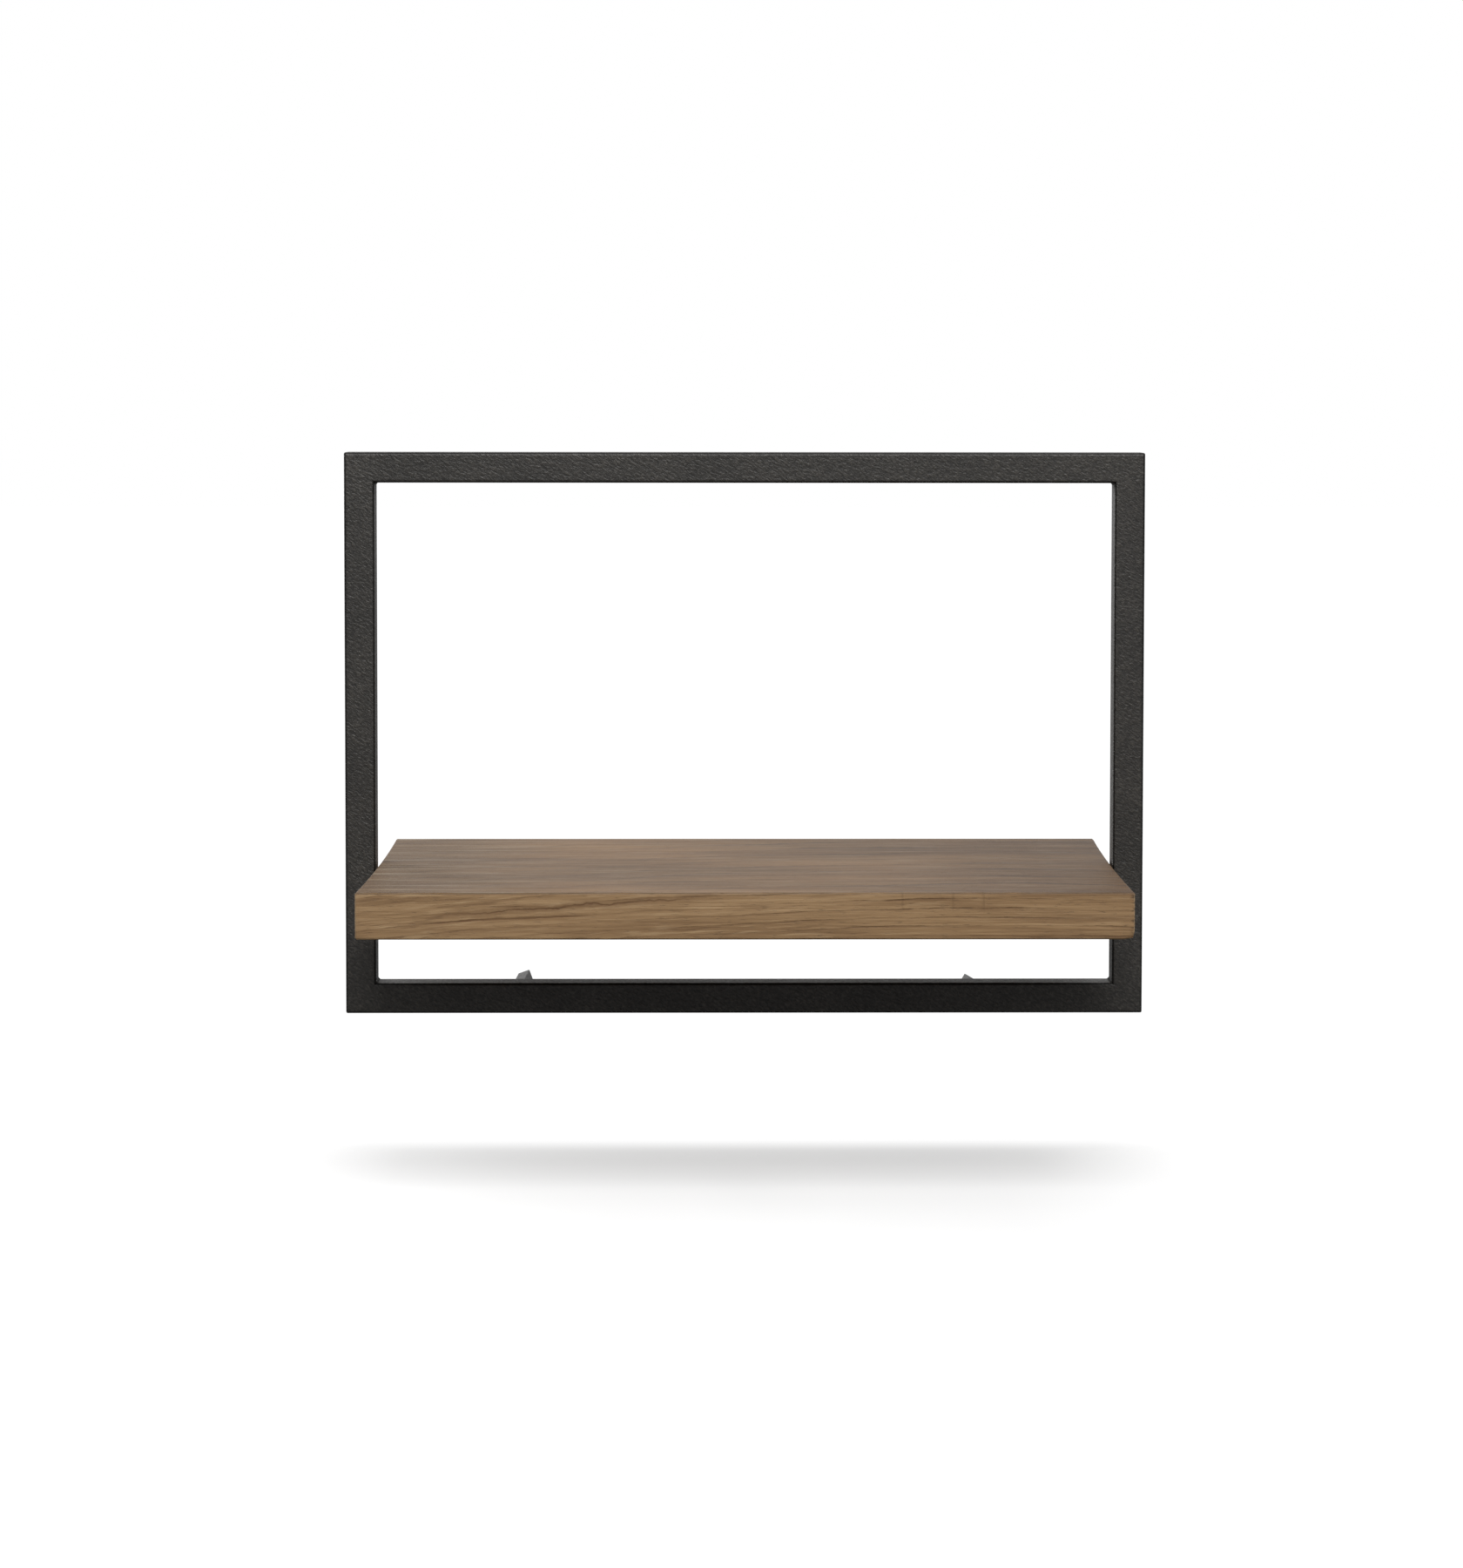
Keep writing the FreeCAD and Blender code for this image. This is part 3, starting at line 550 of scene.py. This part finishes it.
def board_surface():
    """The board's outer skin as a closed grid of quads, a little inside its CAD solid."""
    low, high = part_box("shelf_board")
    low.x, high.x = -BOARD_HALF_WIDTH, BOARD_HALF_WIDTH
    low, high = low + Vector((SKIN,) * 3), high - Vector((SKIN,) * 3)
    stops = [spread_stops(*limits) for limits in zip(low, high, BOARD_STEPS)]
    sizes = [len(s) - 1 for s in stops]
    inner_low = low + Vector((BOARD_EASE,) * 3)
    inner_high = high - Vector((BOARD_EASE,) * 3)
    mid_depth, half_depth = (low.y + high.y) / 2, (high.y - low.y) / 2
    front_middle, rear_middle = BOARD_MIDDLES
    mesh = bmesh.new()
    layer = mesh.verts.layers.float.new("worn")
    made = {}

    def corner(step):
        if step in made:
            return made[step]
        flat = Vector(stops[axis][step[axis]] for axis in range(3))
        core = Vector(min(max(flat[i], inner_low[i]), inner_high[i]) for i in range(3))
        normal = (flat - core).normalized()
        spot = core + normal * BOARD_EASE
        depth, worn = wear_at(spot, normal, low, high)
        along = (spot.y - mid_depth) / half_depth
        spot.x *= 1.0 - BOARD_HOLLOW * (1.0 - along ** 2) / high.x
        spot.x += front_middle + (rear_middle - front_middle) * (along + 1) / 2
        made[step] = mesh.verts.new(spot - normal * depth)
        made[step][layer] = worn
        return made[step]

    for axis in range(3):
        u, v = (axis + 1) % 3, (axis + 2) % 3
        for end in (0, sizes[axis]):
            for i in range(sizes[u]):
                for j in range(sizes[v]):
                    ring = []
                    for du, dv in ((0, 0), (1, 0), (1, 1), (0, 1)):
                        step = [0, 0, 0]
                        step[axis], step[u], step[v] = end, i + du, j + dv
                        ring.append(corner(tuple(step)))
                    mesh.faces.new(ring if end else ring[::-1])
    return mesh


def finished(bm, name, material, sharp_degrees=38.0):
    """An object from a bmesh, smooth but for edges that turn sharply."""
    limit = math.radians(sharp_degrees)
    for face in bm.faces:
        face.smooth = True
    for edge in bm.edges:
        edge.smooth = len(edge.link_faces) != 2 or edge.calc_face_angle(0.0) < limit
    mesh = bpy.data.meshes.new(name)
    bm.to_mesh(mesh)
    bm.free()
    mesh.materials.append(material)
    made = bpy.data.objects.new(name, mesh)
    bpy.context.scene.collection.objects.link(made)
    return made


def make_board(material):
    """The worn board, with the recesses and pilot holes of its CAD solid."""
    skin = finished(board_surface(), "board_skin", material)
    cut = skin.modifiers.new("recesses", "BOOLEAN")
    cut.operation, cut.solver = "INTERSECT", "EXACT"
    cut.object = NODES["shelf_board"]
    bpy.context.view_layer.update()
    cut_mesh = bpy.data.meshes.new_from_object(
        skin.evaluated_get(bpy.context.evaluated_depsgraph_get()))
    bm = bmesh.new()
    bm.from_mesh(cut_mesh)
    bpy.data.objects.remove(skin)
    bpy.data.meshes.remove(cut_mesh)
    bmesh.ops.remove_doubles(bm, verts=bm.verts, dist=1e-7)
    board = finished(bm, "board", material)
    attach(board, "root")
    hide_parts("shelf_board")


# Weld beads ------------------------------------------------------------------------------------

# Node of each straight bead, and which way its two legs run from the corner it fills.
STRAIGHT_BEADS = [
    ("corner_weld_bottom_left", 1, 1), ("corner_weld_bottom_right", -1, 1),
    ("corner_weld_top_left", 1, -1), ("corner_weld_top_right", -1, -1),
    ("left_cleat_weld", 1, -1), ("right_cleat_weld", -1, -1),
]
BEAD_ROWS, BEAD_ACROSS = 96, 9  # quads along a bead and across its face
# How far a bead's face is hollowed, as shares of its leg: all along, between ripples, unevenly.
HOLLOW, RIPPLE_HOLLOW, UNEVEN_HOLLOW = 0.14, 0.055, 0.04


def make_bead(node, toward_x, toward_z, material):
    """A rippled bead in a right-angled corner, along Y, inside its CAD solid."""
    low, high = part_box(node)
    leg = high.x - low.x
    corner_x = low.x if toward_x > 0 else high.x
    corner_z = low.z if toward_z > 0 else high.z
    ripple = 0.9 * MM + 0.25 * leg
    mesh = bmesh.new()
    sections = []
    for row in range(BEAD_ROWS + 1):
        y = low.y + (high.y - low.y) * row / BEAD_ROWS
        section = [mesh.verts.new((corner_x, y, corner_z))]
        for step in range(BEAD_ACROSS + 1):
            t = step / BEAD_ACROSS
            middle = 4 * t * (1 - t)
            lag = 0.45 * ripple * middle
            phase = ((y - low.y + lag) / ripple) % 1.0
            swell = 1.0 - phase ** 2
            wobble = 0.5 + 0.5 * noise.noise(Vector((y * 420.0, t * 2.0, leg * 900.0)))
            share = HOLLOW + RIPPLE_HOLLOW * (1 - swell) + UNEVEN_HOLLOW * wobble
            sink = share * leg * middle
            out = Vector((leg * (1 - t), leg * t)) - Vector((1, 1)).normalized() * sink
            section.append(mesh.verts.new((corner_x + toward_x * out.x, y,
                                           corner_z + toward_z * out.y)))
        sections.append(section)
    count = BEAD_ACROSS + 2
    for here, there in zip(sections, sections[1:]):
        for i in range(count):
            j = (i + 1) % count
            mesh.faces.new((here[i], here[j], there[j], there[i]))
    mesh.faces.new(sections[0][::-1])
    mesh.faces.new(sections[-1])
    bmesh.ops.recalc_face_normals(mesh, faces=mesh.faces)
    bead = finished(mesh, node + "_bead", material, sharp_degrees=60.0)
    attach(bead, "root")
    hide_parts(node)


# Studio ----------------------------------------------------------------------------------------

FRONT_GLOW, BACK_GLOW, ZENITH_GLOW = 0.10, 0.95, 1.6
FLOOR_DROP, FLOOR_REACH = 93.0 * MM, 12.0  # below the object's lowest point, and each way
FLOOR_SEEN, FLOOR_BOUNCE = 0.43, 0.18  # how pale it is to the camera, and to other light
FLOOR_GLOW, SWEEP_GLOW = 0.385, 1.05   # in front of the fade to white, and behind it
SWEEP = (-0.072, -0.022)               # where it fades, in Y: below the rear of the board
RIGHT_DIP, RIGHT_SHADE = (0.05, 0.16), 0.90  # where it turns dimmer, in X, and how dim

# Name of each light, its place and what it points at, its width and height, and its watts.
LIGHTS = [
    ("key", (0.15, -1.35, 1.65), (0, -0.1, 0.1), (1.0, 0.7), 37),
    ("rim", (-1.5, 1.3, 0.75), (0.24, -0.11, 0.15), (0.5, 0.5), 22),
]


def make_world():
    """Bright overhead and behind the object, dim on the camera's side, and white to look at."""
    world = bpy.data.worlds.new("studio")
    bpy.context.scene.world = world
    world.use_nodes = True
    tree = world.node_tree
    tree.nodes.clear()
    add = tree.nodes.new
    where = add("ShaderNodeTexCoord")
    split = add("ShaderNodeSeparateXYZ")
    tree.links.new(where.outputs["Generated"], split.inputs["Vector"])

    def spread(axis, low, high, at_low, at_high):
        made = add("ShaderNodeMapRange")
        made.interpolation_type = "SMOOTHSTEP"
        made.inputs["From Min"].default_value = low
        made.inputs["From Max"].default_value = high
        made.inputs["To Min"].default_value = at_low
        made.inputs["To Max"].default_value = at_high
        tree.links.new(split.outputs[axis], made.inputs["Value"])
        return made.outputs["Result"]

    total = add("ShaderNodeMath")
    total.operation = "ADD"
    tree.links.new(spread("Y", -0.9, 0.6, FRONT_GLOW, BACK_GLOW), total.inputs[0])
    tree.links.new(spread("Z", 0.2, 1.0, 0.0, ZENITH_GLOW), total.inputs[1])
    glow = add("ShaderNodeBackground")
    tree.links.new(total.outputs["Value"], glow.inputs["Strength"])
    plain = add("ShaderNodeBackground")
    plain.inputs["Color"].default_value = (1, 1, 1, 1)
    ray = add("ShaderNodeLightPath")
    choose = add("ShaderNodeMixShader")
    tree.links.new(ray.outputs["Is Camera Ray"], choose.inputs["Fac"])
    tree.links.new(glow.outputs["Background"], choose.inputs[1])
    tree.links.new(plain.outputs["Background"], choose.inputs[2])
    output = add("ShaderNodeOutputWorld")
    tree.links.new(choose.outputs["Shader"], output.inputs["Surface"])


def area_light(name, spot, aim, size, power):
    data = bpy.data.lights.new(name, "AREA")
    data.shape = "RECTANGLE"
    data.size, data.size_y = size
    data.energy = power
    light = bpy.data.objects.new(name, data)
    light.location = spot
    light.rotation_mode = "QUATERNION"
    light.rotation_quaternion = (Vector(aim) - Vector(spot)).to_track_quat("-Z", "Y")
    light.visible_camera = False
    bpy.context.scene.collection.objects.link(light)


def make_floor():
    """A plain pale floor a hand's width below the object, clear when seen from underneath.

    It is staged for the camera in front: it glows, takes less shadow than a real floor, is dimmer
    toward the right, and fades to white from below the rear of the board on.
    """
    level = CAD_BOX[0].z - FLOOR_DROP
    mesh = bpy.data.meshes.new("floor")
    corners = [(x * FLOOR_REACH, y * FLOOR_REACH, level)
               for x, y in ((-1, -1), (1, -1), (1, 1), (-1, 1))]
    mesh.from_pydata(corners, [], [(0, 1, 2, 3)])
    floor = bpy.data.objects.new("floor", mesh)
    bpy.context.scene.collection.objects.link(floor)
    g = Graph("floor_paint")
    ray = g.node("ShaderNodeLightPath").outputs["Is Camera Ray"]
    behind = g.span(g.part(g.place, "Y"), *SWEEP, smooth=True)
    to_right = g.span(g.part(g.place, "X"), *RIGHT_DIP, 1.0, RIGHT_SHADE)
    seen = g.times(g.span(behind, 0.0, 1.0, FLOOR_SEEN, 0.0), to_right)
    tone = g.add(g.span(ray, 0.0, 1.0, FLOOR_BOUNCE, 0.0), g.times(ray, seen))
    joined = g.node("ShaderNodeCombineColor")
    for socket in joined.inputs:
        g.feed(socket, tone)
    g.link(joined.outputs["Color"], g.shader.inputs["Base Color"])
    g.shader.inputs["Emission Color"].default_value = (1, 1, 1, 1)
    g.link(g.times(ray, g.span(behind, 0.0, 1.0, FLOOR_GLOW, SWEEP_GLOW)),
           g.shader.inputs["Emission Strength"])
    g.shader.inputs["Roughness"].default_value = 1.0
    g.shader.inputs["Specular IOR Level"].default_value = 0.0
    one_sided = g.node("ShaderNodeMixShader")
    g.link(g.node("ShaderNodeNewGeometry").outputs["Backfacing"], one_sided.inputs["Fac"])
    g.link(g.shader.outputs["BSDF"], one_sided.inputs[1])
    g.link(g.node("ShaderNodeBsdfTransparent").outputs["BSDF"], one_sided.inputs[2])
    g.link(one_sided.outputs["Shader"], g.output.inputs["Surface"])
    mesh.materials.append(g.material)


def make_studio():
    make_world()
    make_floor()
    for light in LIGHTS:
        area_light(*light)
    bpy.context.scene.view_settings.view_transform = "Standard"


make_camera()
make_studio()
finishes = dress_nodes()
make_board(finishes["hardwood"])
for node, toward_x, toward_z in STRAIGHT_BEADS:
    make_bead(node, toward_x, toward_z, finishes["powder_coat"])
